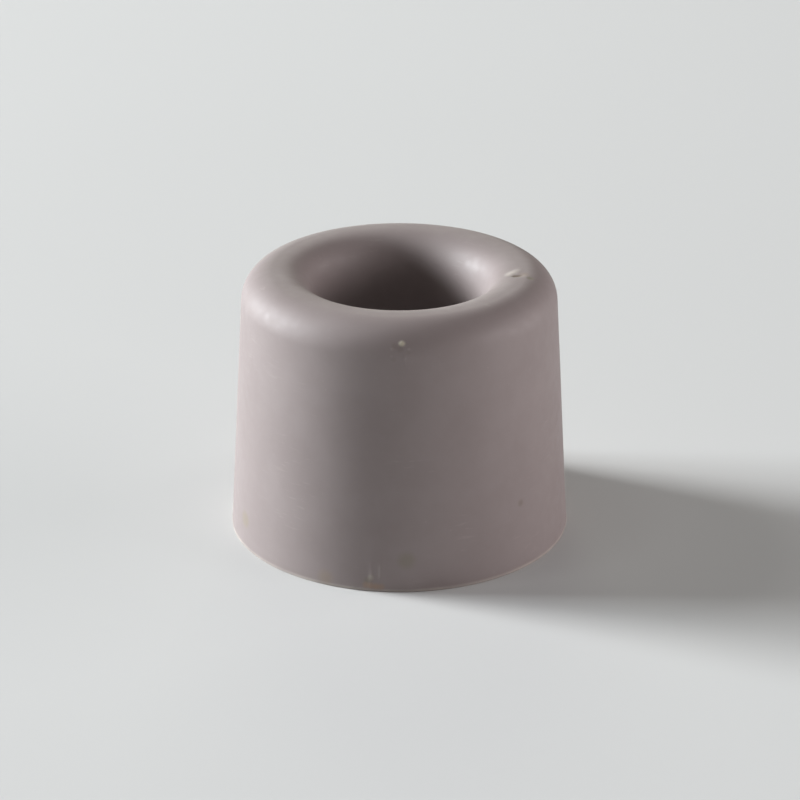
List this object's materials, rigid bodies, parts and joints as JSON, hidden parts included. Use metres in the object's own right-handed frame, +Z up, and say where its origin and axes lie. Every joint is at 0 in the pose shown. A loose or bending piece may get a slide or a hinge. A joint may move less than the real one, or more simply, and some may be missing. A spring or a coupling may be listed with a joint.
{
  "type": "door stop",
  "caption": "Round tapered rubber door stop with a rounded crown and a bell-mouthed bore that holds a countersunk washer and its wood screw.",
  "frame": {"origin": "centre of the flat base, on the stop's axis", "axes": "+Z up the stop's axis, from the base to the crown; X and Y are equal, because the stop is round"},
  "size_m": [0.038, 0.038, 0.03],
  "materials": {
    "grey_rubber": "semi-matte moulded rubber",
    "washer_steel": "zinc-plated, satin",
    "screw_steel": "zinc-plated, bright"
  },
  "bodies": {
    "stop": {"rubber_body": "grey_rubber", "steel_washer": "washer_steel"},
    "screw": {"fixing_screw": "screw_steel"}
  },
  "joints": [
    {"name": "screw_drive", "type": "slide", "parent": "stop", "child": "screw", "axis": [0, 0, -1], "range_m": [0, 0.0133]}
  ]
}
